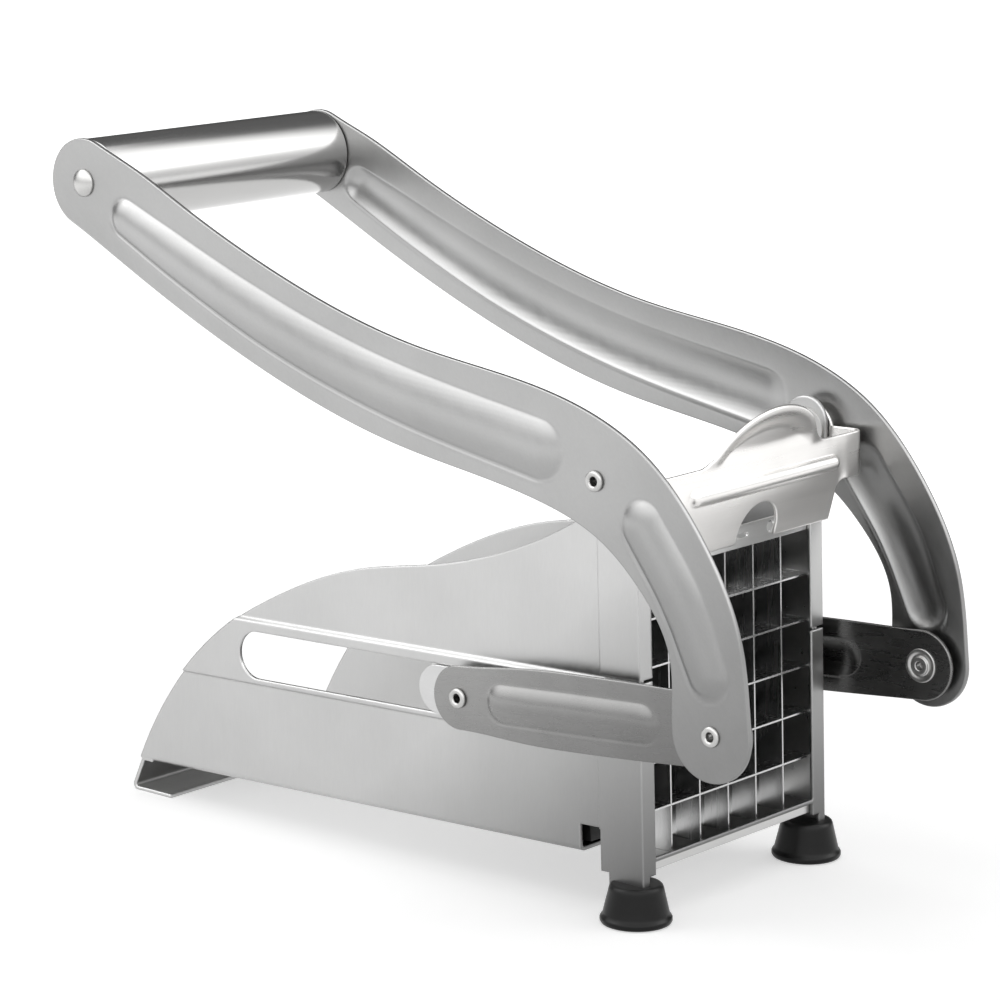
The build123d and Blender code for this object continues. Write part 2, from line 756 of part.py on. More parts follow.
def thumb_tab():
    """The thumb tab: a domed tongue that leans forward over the cap's top edge, with a pressed dish."""
    half = tab_edge[0][0]
    root = Polyline((-half, 0), (-half, -cap_sheet), (half, -cap_sheet), (half, 0))
    tongue = extrude(Plane.YZ * make_face([tab_curve(), root]), amount=cap_sheet)
    steps = [Plane.YZ.offset(cap_sheet - depth) * dish_outline(share) for share, depth in dish_steps]
    dish = loft(steps, ruled=True)
    tongue = tongue + Pos(-cap_sheet, 0, 0) * dish - dish
    return Pos(cap_front - cap_sheet, 0, cap_top) * Rot(0, tab_lean, 0) * tongue


# ---------- writing the nodes ----------


def pivot_rivet():
    """The rivet that the arm and the cap turn on, fixed in the ear."""
    inner = shell_half_width + ear_offset - washer_thick
    return tubular_rivet(pivot, inner, arm_outer + side_play)


def pivot_washer():
    """The wide washer on the ear's inner face."""
    outer = shell_half_width + ear_offset
    washer = pin(pivot, washer_radius, outer - washer_thick, outer)
    return washer - pin(pivot, shank_radius, outer - washer_thick - 1, outer + 1)


def pivot_spacer():
    """The spacer that keeps the arm clear of the cap."""
    inner = cap_half + side_play
    outer = arm_inner - side_play
    spacer = pin(pivot, spacer_radius, inner, outer)
    return spacer - pin(pivot, shank_radius, inner - 1, outer + 1)


def crank_rivet():
    """The outer half of the crank pin, fixed in the arm, with its shoulder."""
    rivet = tubular_rivet(crank_pin, link_outer + open_gap, arm_outer, inner_head=0)
    shoulder = pin(crank_pin, boss_radius, link_outer + open_gap, arm_inner)
    return rivet + (shoulder - pin(crank_pin, rivet_bore, 0, slab))


def link_pin():
    """The inner half of the crank pin, fixed in the link."""
    return tubular_rivet(crank_pin, link_inner, link_outer, inner_head=link_head_radius, outer_head=0)


def slider_rivet():
    """The rivet through the carrier, the shoe and the link, which turns on it."""
    return tubular_rivet(slider_pin, carrier_half - carrier_sheet, link_outer + side_play)


shell = body_shell()
nodes = {"body_shell": shell, "handle_tube": raked(handle_tube())}
pairs = {
    "ear_bracket": ear_bracket,
    "arm": arm,
    "handle_plug": handle_plug,
    "handle_rivet": handle_rivet,
    "link": link,
    "pivot_rivet": pivot_rivet,
    "pivot_washer": pivot_washer,
    "pivot_spacer": pivot_spacer,
    "crank_rivet": crank_rivet,
    "link_pin": link_pin,
    "slider_rivet": slider_rivet,
    "slide_shoe": slide_shoe,
}
singles = {
    "blade_frame": blade_frame,
    "level_blades": level_blades,
    "upright_blades": upright_blades,
    "pusher_block": pusher_block,
    "pusher_carrier": pusher_carrier,
    "pusher_screws": pusher_screws,
    "blade_cap": blade_cap,
}
for name, make in pairs.items():
    right, left = both(make())
    nodes[name + "_right"] = raked(right)
    nodes[name + "_left"] = raked(left)
for name, make in singles.items():
    nodes[name] = raked(make())
foot_right, foot_left = both(rubber_foot(shell))
nodes["rubber_foot_right"] = foot_right
nodes["rubber_foot_left"] = foot_left

# the origin goes under the middle of the whole object, on the table
middle = Compound(list(nodes.values())).bounding_box().center().X

os.makedirs("parts", exist_ok=True)
for name, solid in nodes.items():
    export_step(Pos(-middle, 0, 0) * solid, "parts/" + name + ".step")
print("moved by", round(-middle, 4))
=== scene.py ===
import bmesh
import bpy
import json
import math
import numpy as np
from mathutils import Matrix, Vector


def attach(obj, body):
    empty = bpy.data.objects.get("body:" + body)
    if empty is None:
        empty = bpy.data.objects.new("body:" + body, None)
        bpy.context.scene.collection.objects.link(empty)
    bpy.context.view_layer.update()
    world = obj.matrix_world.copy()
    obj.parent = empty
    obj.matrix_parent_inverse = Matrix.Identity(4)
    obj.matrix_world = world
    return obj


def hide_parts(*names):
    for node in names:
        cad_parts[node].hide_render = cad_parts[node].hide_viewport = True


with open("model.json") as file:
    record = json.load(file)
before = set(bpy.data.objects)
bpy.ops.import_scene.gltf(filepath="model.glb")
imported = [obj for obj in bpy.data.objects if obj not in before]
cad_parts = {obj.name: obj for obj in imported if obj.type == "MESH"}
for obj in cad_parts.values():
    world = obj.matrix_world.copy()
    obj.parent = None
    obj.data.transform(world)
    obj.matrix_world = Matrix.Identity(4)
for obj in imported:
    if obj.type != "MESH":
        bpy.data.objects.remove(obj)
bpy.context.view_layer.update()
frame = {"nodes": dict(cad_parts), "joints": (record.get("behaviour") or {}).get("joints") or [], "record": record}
print("frame loaded:", len(frame["nodes"]), "nodes")

# the shell is modelled level and then raked, so shapes here are in mm of its own u (forward) and w (up)
shell = dict(
    rake=2.1, pivot=(-1.9, 116.4), crankPin=(33.1, 56.0), sliderPin=(-52.4, 53.1), handleAxis=(-181.4, 181.7),
)
rakeCos = math.cos(math.radians(shell["rake"]))
rakeSin = math.sin(math.radians(shell["rake"]))
leverHinge = next(joint for joint in frame["joints"] if joint["name"] == "lever_hinge")["pos_m"]
hingeU, hingeW = shell["pivot"]
originShift = np.array([
    leverHinge[0] - (hingeU * rakeCos - hingeW * rakeSin) / 1000,
    0.0,
    leverHinge[2] - (hingeU * rakeSin + hingeW * rakeCos) / 1000,
])
sides = {"right": -1, "left": 1}

# how finely the shapes are drawn, how far a bore's bar stands out behind and in front of a sheet in mm, and
# how near two vertices are joined in metres
meshDetail = dict(discs=160, noseRows=14, edgeRows=4, around=48, barSides=32, boreRoom=(2, 4), weld=2e-6)


def toFrame(points):
    # level (u, y, w) in mm to the frame in metres: turn by the rake about Y, then move to the hinge's place
    points = np.asarray(points, float)
    u, y, w = points[..., 0], points[..., 1], points[..., 2]
    raked = np.stack([u * rakeCos - w * rakeSin, y, u * rakeSin + w * rakeCos], -1) / 1000
    return raked + originShift


# meshes from arrays

def putInScene(name, data):
    # a new object for a mesh, a lamp or a camera
    thing = bpy.data.objects.new(name, data)
    bpy.context.scene.collection.objects.link(thing)
    return thing


def meshFromArrays(name, vertices, faces):
    # a smooth, welded piece from vertices in metres and faces that index them
    mesh = bpy.data.meshes.new(name)
    mesh.from_pydata(vertices.reshape(-1, 3).tolist(), [], faces.tolist())
    mesh.validate()
    weld(mesh)
    mesh.shade_smooth()
    return putInScene(name, mesh)


def weld(mesh):
    # joins the seams and the poles, then turns every face outwards
    work = bmesh.new()
    work.from_mesh(mesh)
    bmesh.ops.remove_doubles(work, verts=work.verts, dist=meshDetail["weld"])
    bmesh.ops.dissolve_degenerate(work, edges=work.edges, dist=meshDetail["weld"])
    bmesh.ops.recalc_face_normals(work, faces=work.faces)
    work.to_mesh(mesh)
    work.free()


def gridFaces(rows, columns, first=0, wrap=False):
    # quads of a rows by columns grid of vertices, with the last column joined to the first where it wraps
    row = np.arange(rows - 1)[:, None]
    column = np.arange(columns if wrap else columns - 1)[None, :]
    right = (column + 1) % columns
    upper, lower = row * columns, (row + 1) * columns
    corners = [upper + column, upper + right, lower + right, lower + column]
    return np.stack(corners, -1).reshape(-1, 4) + first


def unit(ways):
    # the same directions, each one long
    return ways / np.linalg.norm(ways, axis=-1)[..., None]


def splineThrough(points, startWay, endWay, count):
    # clamped cubic spline: chord-length knots, equal second derivatives at each, given directions at the ends
    points = np.asarray(points, float)
    step = np.diff(points, axis=0)
    chord = np.linalg.norm(step, axis=1)
    knots = np.concatenate([[0], np.cumsum(chord)])
    total = len(points)
    matrix = np.zeros((total, total))
    right = np.zeros((total, 2))
    matrix[0, 0] = matrix[-1, -1] = 1
    right[0], right[-1] = startWay, endWay
    inner = np.arange(1, total - 1)
    matrix[inner, inner - 1] = 1 / chord[:-1]
    matrix[inner, inner] = 2 / chord[:-1] + 2 / chord[1:]
    matrix[inner, inner + 1] = 1 / chord[1:]
    right[1:-1] = 3 * (step[:-1] / chord[:-1, None] ** 2 + step[1:] / chord[1:, None] ** 2)
    slope = np.linalg.solve(matrix, right)
    place = np.linspace(0, knots[-1], count)
    span = np.clip(np.searchsorted(knots, place, side="right") - 1, 0, total - 2)
    size = chord[span][:, None]
    t = ((place - knots[span]) / chord[span])[:, None]
    return (
        (2 * t**3 - 3 * t**2 + 1) * points[span] + (t**3 - 2 * t**2 + t) * size * slope[span]
        + (3 * t**2 - 2 * t**3) * points[span + 1] + (t**3 - t**2) * size * slope[span + 1]
    )


def stationArrays(stations):
    # middle points and half widths of a strip
    points, halves = zip(*stations)
    return np.array(points, float), np.array(halves, float)


def stripSides(stations, rows, noseRows):
    # the two long sides of a strip from (point, half width) stations, closed by half circles at both ends
    points, half = stationArrays(stations)
    half = half[:, None]
    before = points[np.maximum(np.arange(len(points)) - 1, 0)]
    after = points[np.minimum(np.arange(len(points)) + 1, len(points) - 1)]
    along = unit(after - before)
    across = np.stack([-along[:, 1], along[:, 0]], -1)
    turn = np.linspace(0, math.pi / 2, noseRows + 1)[1:, None]
    out, aside = np.sin(turn), np.cos(turn)

    def oneSide(sign):
        side = splineThrough(points + sign * across * half, along[0], along[-1], rows)
        tail = points[0] - along[0] * half[0] * out + sign * across[0] * half[0] * aside
        nose = points[-1] + along[-1] * half[-1] * out + sign * across[-1] * half[-1] * aside
        return np.concatenate([tail[::-1], side, nose])

    return oneSide(1), oneSide(-1)


def domeInside(points, stations):
    # how far up a strip's dome each point lies: the most, over discs along its middle, of one less the square
    # of its distance over the radius; and how far below that disc's centre it is, from -1 to 1
    middle, half = stationArrays(stations)
    length = np.concatenate([[0], np.cumsum(np.linalg.norm(np.diff(middle, axis=0), axis=1))])
    place = np.linspace(0, length[-1], meshDetail["discs"])
    ways = unit(middle[1] - middle[0]), unit(middle[-1] - middle[-2])
    discs = splineThrough(middle, *ways, meshDetail["discs"])
    radius = np.interp(place, length, half)
    dome = np.full(points.shape[:-1], -1e3)  # far outside every disc
    below = np.zeros(points.shape[:-1])
    for disc, size in zip(discs, radius):
        apart = np.hypot(points[..., 0] - disc[0], points[..., 1] - disc[1])
        share = 1 - (apart / size) ** 2
        below = np.where(share > dome, (disc[1] - points[..., 1]) / np.maximum(apart, 1e-6), below)
        dome = np.maximum(dome, share)
    return dome, below


# across the lower foot of a rib, in shares of its half width: where the groove and the lip lie and how wide
# they are, and how quickly they fade in towards the lower side
footRipple = dict(groove=(0.06, 0.07), lip=(0.2, 0.04), fade=2.5)


def bell(x, middle, width):
    # e to the minus square of the distance from the middle over the width
    return np.exp(-((x - middle) / width) ** 2)


def pressedRib(stations, look):
    # a rib's stations and height, with how its foot, crown, groove and lip are pressed
    shape = {key: look[key] for key in ("foot", "full", "groove", "lip")}
    return dict(stations=stations, height=look["ribHeight"], **shape)


def pressedHeight(points, ribs):
    # height of the pressed ribs: a parabola from foot to foot, with a small soft foot and a fuller crown;
    # along the lower foot the press leaves a shallow groove and a low lip, two bell curves across
    height = np.zeros(points.shape[:-1])
    ripple = np.zeros(points.shape[:-1])
    for rib in ribs:
        dome, below = domeInside(points, rib["stations"])
        away = np.sqrt(np.maximum(1 - dome, 0)) - 1
        eased = np.minimum((dome + np.sqrt(dome**2 + rib["foot"] ** 2)) / 2, 1)
        height = np.maximum(height, rib["height"] * eased ** rib["full"])
        wave = rib["lip"] * bell(away, *footRipple["lip"]) - rib["groove"] * bell(away, *footRipple["groove"])
        ripple += wave * np.clip(below * footRipple["fade"], 0, 1)
    return height + ripple


def pressedSheet(name, stations, ribs, look, sign):
    # a sheet strip with pressed ribs: two faces on a grid between its long sides, and a rounded cut edge that
    # follows the closed outline: inset by the edge radius, out along a quarter circle, across and back in
    inner, outer, edge, columns = (look[key] for key in ("inner", "outer", "edge", "columns"))

    def lift(points):
        # the strip's own curve across adds the dish times the square of the share of the way to its edge
        return pressedHeight(points, ribs) + look["dish"] * np.minimum(1 - domeInside(points, stations)[0], 1)

    def level(plan, distance):
        return np.stack([plan[..., 0], distance, plan[..., 1]], -1)

    left, right = stripSides(stations, look["rows"], meshDetail["noseRows"])
    outline = np.concatenate([left, right[-2:0:-1]])
    way = unit(np.roll(outline, -1, 0) - np.roll(outline, 1, 0))
    outward = np.stack([-way[:, 1], way[:, 0]], -1)
    inset = outline - outward * edge
    count = len(left)
    insetLeft = inset[:count]
    insetRight = np.concatenate([inset[:1], inset[count:][::-1], inset[count - 1:count]])
    share = np.linspace(0, 1, columns)[None, :, None]
    plan = insetLeft[:, None] * (1 - share) + insetRight[:, None] * share
    rise = lift(plan)
    turn = np.linspace(0, math.pi / 2, meshDetail["edgeRows"])
    reach = np.concatenate([np.sin(turn), np.cos(turn)]) * edge
    across = np.concatenate([outer - edge + np.cos(turn) * edge, inner + edge - np.sin(turn) * edge])
    rim = level(inset[None] + outward[None] * reach[:, None, None], lift(inset)[None, :] + across[:, None])
    sheets = [level(plan, outer + rise), level(plan, inner + rise), rim]
    vertices = np.concatenate([sheet.reshape(-1, 3) for sheet in sheets])
    faces = np.concatenate([
        gridFaces(count, columns),
        gridFaces(count, columns, count * columns)[:, ::-1],
        gridFaces(len(across), len(outline), 2 * count * columns, wrap=True),
    ])
    vertices[:, 1] *= sign
    return meshFromArrays(name, toFrame(vertices), faces)


def ringsAround(profile, around):
    # for each point of a turned piece: its two distances across the axis and its place along it
    profile = np.asarray(profile, float)
    angle = np.linspace(0, 2 * math.pi, around, endpoint=False)
    radius, along = profile[:, 0][:, None], profile[:, 1][:, None]
    return radius * np.cos(angle), radius * np.sin(angle), np.broadcast_to(along, (len(profile), around))


def turned(name, profile, centre, sign, around=meshDetail["around"]):
    # a turned piece: the profile of (radius, distance from the middle plane) carried round an axis along Y
    forward, upward, along = ringsAround(profile, around)
    rings = np.stack([centre[0] + forward, along * sign, centre[1] + upward], -1)
    return meshFromArrays(name, toFrame(rings), gridFaces(len(profile), around, wrap=True))


def turnedUpright(name, profile, centre, around):
    # a piece turned about an upright axis, standing on the table: the profile is (radius, height)
    forward, sideways, height = ringsAround(profile, around)
    rings = np.stack([centre[0] + forward, centre[1] + sideways, height], -1)
    place = rings / 1000 + np.array([originShift[0], 0, 0])
    return meshFromArrays(name, place, gridFaces(len(profile), around, wrap=True))


def arcProfile(centre, radius, start, end, count=8):
    # points along a circle in a profile, between two angles in degrees
    angle = np.radians(np.linspace(start, end, count))
    return [(centre[0] + radius * math.cos(a), centre[1] + radius * math.sin(a)) for a in angle]


def onChord(start, end, share, bow):
    # a point a share of the way from start to end, moved sideways by bow
    start, end = np.array(start), np.array(end)
    way = (end - start) / np.linalg.norm(end - start)
    return tuple(start + share * (end - start) + bow * np.array([-way[1], way[0]]))


def boreThrough(piece, centre, radius, sign, low, high):
    # a clean round hole along Y: the piece less a round bar
    section = [(0, low), (radius, low), (radius, high), (0, high)]
    bar = turned("bar", section, centre, sign, meshDetail["barSides"])
    cut = piece.modifiers.new("bore", "BOOLEAN")
    cut.operation = "DIFFERENCE"
    cut.solver = "EXACT"
    cut.object = bar
    cutMesh = bpy.data.meshes.new_from_object(piece.evaluated_get(bpy.context.evaluated_depsgraph_get()))
    piece.modifiers.clear()
    piece.data = cutMesh
    bpy.data.objects.remove(bar)


def boreSheet(piece, look, sign, *holes):
    # each (centre, radius) hole through a pressed sheet and its ribs, with room to spare behind and in front
    behind, before = meshDetail["boreRoom"]
    for centre, radius in holes:
        boreThrough(piece, centre, radius, sign, look["inner"] - behind, look["outer"] + before)


# shader nodes and groups

def feed(tree, socket, value):
    # a socket takes a plain value as its own and another socket as a link
    if isinstance(value, bpy.types.NodeSocket):
        tree.links.new(value, socket)
    else:
        socket.default_value = value


def addNode(tree, kind, inputs=None, **values):
    # a node with its properties set and its inputs fed
    node = tree.nodes.new(kind)
    for key, value in values.items():
        setattr(node, key, value)
    for socket, value in (inputs or {}).items():
        feed(tree, node.inputs[socket], value)
    return node


def mathNode(tree, operation, *values, clamp=False):
    inputs = dict(enumerate(values))
    return addNode(tree, "ShaderNodeMath", inputs, operation=operation, use_clamp=clamp).outputs[0]


def mixRange(tree, value, low, high, start=0.0, end=1.0, **kind):
    # a value between start and end spread over low to high
    inputs = {"Value": value, "From Min": start, "From Max": end, "To Min": low, "To Max": high}
    return addNode(tree, "ShaderNodeMapRange", inputs, **kind).outputs[0]


def noiseNode(tree, vector, scale, detail, rough=0.5):
    inputs = {"Vector": vector, "Scale": scale, "Detail": detail, "Roughness": rough}
    return addNode(tree, "ShaderNodeTexNoise", inputs, noise_dimensions="3D").outputs[0]


def newGroup(name, inputs, outputs):
    # a group from input labels and their values, where None stands for a vector, and (label, kind) outputs
    group = bpy.data.node_groups.new(name, "ShaderNodeTree")
    for label, value in inputs.items():
        kind = "NodeSocketVector" if value is None else "NodeSocketFloat"
        socket = group.interface.new_socket(label, in_out="INPUT", socket_type=kind)
        if value is not None:
            socket.default_value = value
    for label, kind in outputs:
        group.interface.new_socket(label, in_out="OUTPUT", socket_type="NodeSocket" + kind)
    return group, group.nodes.new("NodeGroupInput").outputs, group.nodes.new("NodeGroupOutput").inputs


# each noise: its scale beside the grain's, its detail and its roughness; then each one's share of the grain
grainLook = dict(
    fine=(1.0, 3.0, 0.6), broad=(0.16, 2.0, 0.5), fineShare=0.6, broadShare=0.4, smudgeDetail=3.0,
)


def buildGrainGroup():
    # brushed grain: noise drawn out along one axis in two widths, plus slow smudges; all run from 0 to 1
    group, source, sink = newGroup(
        "brushedGrain", {"Vector": None, "Along": 60.0, "Across": 3500.0, "Smudge Size": 30.0},
        [("Grain", "Float"), ("Streak", "Float"), ("Smudge", "Float")])
    split = addNode(group, "ShaderNodeSeparateXYZ", {0: source["Vector"]}).outputs

    def stretched(share, detail, rough):
        across = mathNode(group, "MULTIPLY", source["Across"], share)
        along = mathNode(group, "MULTIPLY", source["Along"], share)
        scales = (across, across, along)
        scaled = [mathNode(group, "MULTIPLY", axis, scale) for axis, scale in zip(split, scales)]
        join = addNode(group, "ShaderNodeCombineXYZ", dict(enumerate(scaled)))
        return noiseNode(group, join.outputs[0], 1.0, detail, rough)

    fine, broad = stretched(*grainLook["fine"]), stretched(*grainLook["broad"])
    fineShare = mathNode(group, "MULTIPLY", fine, grainLook["fineShare"])
    broadShare = mathNode(group, "MULTIPLY", broad, grainLook["broadShare"])
    feed(group, sink["Grain"], mathNode(group, "ADD", fineShare, broadShare))
    feed(group, sink["Streak"], broad)
    smudge = noiseNode(group, source["Vector"], source["Smudge Size"], grainLook["smudgeDetail"])
    feed(group, sink["Smudge"], smudge)
    return group


edgeLook = dict(radius=0.0003, gain=6.0, samples=6)


def buildEdgeGroup():
    # painted edge highlight: a mask of how far the rounded normal leans from the face's own, and that rounded
    # normal
    group, source, sink = newGroup(
        "paintedEdgeHighlight", {"Radius": edgeLook["radius"], "Gain": edgeLook["gain"]},
        [("Mask", "Float"), ("Normal", "Vector")])
    bevel = addNode(group, "ShaderNodeBevel", {"Radius": source["Radius"]}, samples=edgeLook["samples"])
    rounded = bevel.outputs[0]
    face = addNode(group, "ShaderNodeNewGeometry").outputs["Normal"]
    match = addNode(group, "ShaderNodeVectorMath", {0: rounded, 1: face}, operation="DOT_PRODUCT")
    lean = mathNode(group, "SUBTRACT", 1.0, match.outputs["Value"])
    feed(group, sink["Mask"], mathNode(group, "MULTIPLY", lean, source["Gain"], clamp=True))
    feed(group, sink["Normal"], rounded)
    return group


shadeWay = (0.8, -1.0)  # the shares of X and Z that tell how far forward and down a place is


def buildPaintedShadeGroup():
    # painted shade over a whole piece: a factor on its tone that runs evenly from its rear top to its front bottom
    group, source, sink = newGroup(
        "paintedShadeTone", {"Vector": None, "Start": 0.0, "End": 0.1, "First": 1.0, "Last": 1.0},
        [("Factor", "Float")])
    split = addNode(group, "ShaderNodeSeparateXYZ", {0: source["Vector"]}).outputs
    down = mathNode(group, "MULTIPLY", split[2], shadeWay[1])
    place = mathNode(group, "MULTIPLY_ADD", split[0], shadeWay[0], down)
    ends = (source[label] for label in ("First", "Last", "Start", "End"))
    feed(group, sink["Factor"], mixRange(group, place, *ends))
    return group


grainGroup = buildGrainGroup()
edgeGroup = buildEdgeGroup()
paintedShadeGroup = buildPaintedShadeGroup()


def groupNode(tree, group, inputs):
    return addNode(tree, "ShaderNodeGroup", inputs, node_tree=group).outputs


def newMaterial(name):
    material = bpy.data.materials.new(name)
    material.use_nodes = True
    return material, material.node_tree, material.node_tree.nodes["Principled BSDF"].inputs


def bumpNormal(tree, height, normal, look):
    inputs = {"Height": height, "Normal": normal, "Strength": look["bump"], "Distance": look["bumpDepth"]}
    return addNode(tree, "ShaderNodeBump", inputs).outputs[0]


def steelMaterial(name, look):
    # brushed or satin steel: grain and smudges move its tone, grain its roughness, grain and edges its normal
    material, tree, shader = newMaterial(name)
    shader["Metallic"].default_value = 1.0
    place = addNode(tree, "ShaderNodeTexCoord").outputs["Object"]
    turn = [math.radians(a) for a in look["turn"]]
    vector = addNode(tree, "ShaderNodeMapping", {"Vector": place, "Rotation": turn}).outputs[0]
    scales = {"Along": look["along"], "Across": look["across"], "Smudge Size": look["smudgeSize"]}
    grain = groupNode(tree, grainGroup, {"Vector": vector, **scales})
    edge = groupNode(tree, edgeGroup, {"Radius": look["edge"]})
    low, high = look["tone"] - look["toneSpread"], look["tone"] + look["toneSpread"]
    tone = mixRange(tree, grain["Grain"], low, high)
    tone = mathNode(tree, "ADD", tone, mixRange(tree, grain["Smudge"], -look["smudge"], look["smudge"]))
    # painted shade: the tone darkens evenly from the rear top to the front bottom of the piece
    if "paintedShade" in look:
        ends = dict(zip(("Start", "End", "First", "Last"), look["paintedShade"]))
        paintedShade = groupNode(tree, paintedShadeGroup, {"Vector": place, **ends})
        tone = mathNode(tree, "MULTIPLY", tone, paintedShade["Factor"])
    # painted highlight: the edges lightened by the edge mask
    bright = mathNode(tree, "MULTIPLY", edge["Mask"], look["edgeHighlight"])
    tone = mathNode(tree, "ADD", tone, bright, clamp=True)
    tinted = [mathNode(tree, "MULTIPLY", tone, share) for share in look["tint"]]
    colour = addNode(tree, "ShaderNodeCombineColor", dict(enumerate(tinted)))
    feed(tree, shader["Base Color"], colour.outputs[0])
    low, high = look["rough"] - look["roughSpread"], look["rough"] + look["roughSpread"]
    feed(tree, shader["Roughness"], mixRange(tree, grain["Streak"], low, high))
    feed(tree, shader["Normal"], bumpNormal(tree, grain["Grain"], edge["Normal"], look))
    return material


# one look for each finish: tone is the steel's grey, along and across the grain's scale, lengths in metres,
# and the painted shade's start, end, first and last; a value that a finish leaves out is the plain one's
plainSteel = dict(
    toneSpread=0.035, smudge=0.04, tint=(1.0, 1.0, 0.995), roughSpread=0.06, bumpDepth=0.00003, edge=0.0003,
    edgeHighlight=0.15, turn=(0, 0, 0),
)
steelLooks = {
    # the shell's painted shade darkens its lower front, the posts most
    "brushed_shell": dict(
        tone=0.53, smudge=0.05, rough=0.35, roughSpread=0.08, along=420, across=3600, smudgeSize=32,
        bump=0.22, edge=0.0009, edgeHighlight=0.10, paintedShade=(-0.03, 0.055, 1.0, 0.30)),
    # the lever's painted shade darkens its front end
    "brushed_lever": dict(
        tone=0.38, rough=0.33, along=900, across=2600, smudgeSize=30, bump=0.16, turn=(0, 35, 0),
        paintedShade=(-0.06, 0.04, 1.0, 0.62)),
    # a darker copy of the lever's steel for the links, darkened as painted shade, with its own fall-off to the
    # front
    "link_steel_painted_shade": dict(
        tone=0.28, tint=(1.0, 0.995, 0.985), rough=0.28, along=900, across=4200, smudgeSize=40, bump=0.05,
        turn=(0, 95, 0), paintedShade=(-0.035, 0.03, 1.05, 0.62)),
    "polished_tube": dict(
        tone=0.52, toneSpread=0.03, smudge=0.02, tint=(1.0, 0.995, 0.985), rough=0.20, roughSpread=0.05,
        along=40, across=3000, smudgeSize=40, bump=0.10, bumpDepth=0.00002, edgeHighlight=0.1, turn=(90, 0, 0)),
    "rivet_steel": dict(
        tone=0.50, toneSpread=0.05, smudge=0.03, tint=(1.0, 0.995, 0.98), rough=0.32, roughSpread=0.05,
        along=900, across=2500, smudgeSize=200, bump=0.12, edge=0.0002, edgeHighlight=0.1),
    "cartridge_steel": dict(
        tone=0.58, toneSpread=0.06, smudge=0.03, tint=(1.0, 1.0, 0.99), rough=0.30, along=80, across=2600,
        smudgeSize=60, bump=0.15, edge=0.0002, edgeHighlight=0.2, turn=(90, 0, 0)),
    "blade_steel": dict(
        tone=0.56, toneSpread=0.08, smudge=0.03, tint=(1.0, 1.0, 1.0), rough=0.26, along=200, across=4000,
        smudgeSize=80, bump=0.2, edge=0.0001, edgeHighlight=0.2),
    "brushed_cap": dict(
        tone=0.75, smudge=0.05, tint=(1.0, 0.985, 0.965), rough=0.29, along=80, across=2400, smudgeSize=60,
        bump=0.05, edge=0.0005, edgeHighlight=0.10, turn=(90, 0, 0)),
    "shoe_steel": dict(
        tone=0.60, toneSpread=0.04, smudge=0.02, tint=(1.0, 1.0, 1.0), rough=0.38, along=300, across=1800,
        smudgeSize=90, bump=0.1, turn=(0, 90, 0)),
}


def darkMaterial(name, look):
    # moulded rubber or plastic: fine stipple, scuffs in the roughness and a painted highlight that pales the edges
    material, tree, shader = newMaterial(name)
    shader["Specular IOR Level"].default_value = look["specular"]
    place = addNode(tree, "ShaderNodeTexCoord").outputs["Object"]
    stipple = noiseNode(tree, place, look["stipple"], look["stippleDetail"])
    scuff = noiseNode(tree, place, look["scuff"], look["scuffDetail"])
    edge = groupNode(tree, edgeGroup, {"Radius": look["edge"]})
    tone = mixRange(tree, scuff, *(look["tone"] * share for share in look["toneShares"]))
    # painted highlight: the edges lightened by the edge mask
    tone = mathNode(tree, "ADD", tone, mathNode(tree, "MULTIPLY", edge["Mask"], look["edgeHighlight"]), clamp=True)
    colour = addNode(tree, "ShaderNodeCombineColor", {0: tone, 1: tone, 2: tone})
    feed(tree, shader["Base Color"], colour.outputs[0])
    low, high = look["rough"] - look["roughSpread"], look["rough"] + look["roughSpread"]
    feed(tree, shader["Roughness"], mixRange(tree, scuff, low, high))
    feed(tree, shader["Normal"], bumpNormal(tree, stipple, edge["Normal"], look))
    return material


plainDark = dict(
    toneShares=(0.7, 1.4), roughSpread=0.12, stippleDetail=4.0, scuffDetail=5.0, bumpDepth=0.00005,
    edge=0.0004,
)
darkLooks = {
    "black_rubber": dict(
        tone=0.006, specular=0.22, rough=0.34, stipple=2500, scuff=120, bump=0.3, edgeHighlight=0.01),
    "black_plastic": dict(
        tone=0.016, specular=0.35, rough=0.40, stipple=1800, scuff=90, bump=0.2, edgeHighlight=0.015),
}

materials = {name: steelMaterial(name, {**plainSteel, **look}) for name, look in steelLooks.items()}
materials.update({name: darkMaterial(name, {**plainDark, **look}) for name, look in darkLooks.items()})
print("materials built:", len(materials))

slotOf = {part["node"]: part["material_slot"] for part in frame["record"]["subparts"]}
for name, node in frame["nodes"].items():
    if not node.material_slots:
        node.data.materials.append(None)
    for slot in node.material_slots:
        slot.material = materials[slotOf[name]]


def finishPiece(piece, slotName, body, node, look=None):
    # the piece takes its slot's finish or its own, rides on its body and stands for its CAD node
    piece.data.materials.clear()
    piece.data.materials.append(materials[look or slotName])
    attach(piece, body)
    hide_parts(node)


# lever arms: a station is its share of the way from the pivot to the handle or to the crank pin, its bow off
# that line and its half width

armLook = dict(
    inner=46.5, outer=48.0, endHalf=12.3, tipHalf=11.9,
    rear=[(0.924, 1.4, 12.8), (0.819, 4.1, 13.0), (0.619, 7.7, 13.2), (0.333, 6.1, 13.7),
          (0.078, -1.3, 14.1)],
    front=[(0.105, 5.5, 13.5), (0.394, 10.7, 12.2), (0.716, 9.6, 11.3)],
    longRib=[(0.906, 2.9, 5.2), (0.81, 4.9, 6.0), (0.619, 7.8, 6.9), (0.333, 6.1, 7.4), (0.101, 0.0, 7.7)],
    shortRib=[(0.228, 8.0, 6.5), (0.541, 9.4, 6.6), (0.805, 7.1, 6.0)],
    dish=0.35, ribHeight=2.0, full=0.9, foot=0.07, groove=0.2, lip=0.07, edge=0.28, bore=1.9, handleBore=2.4,
    rows=300, columns=111,
)


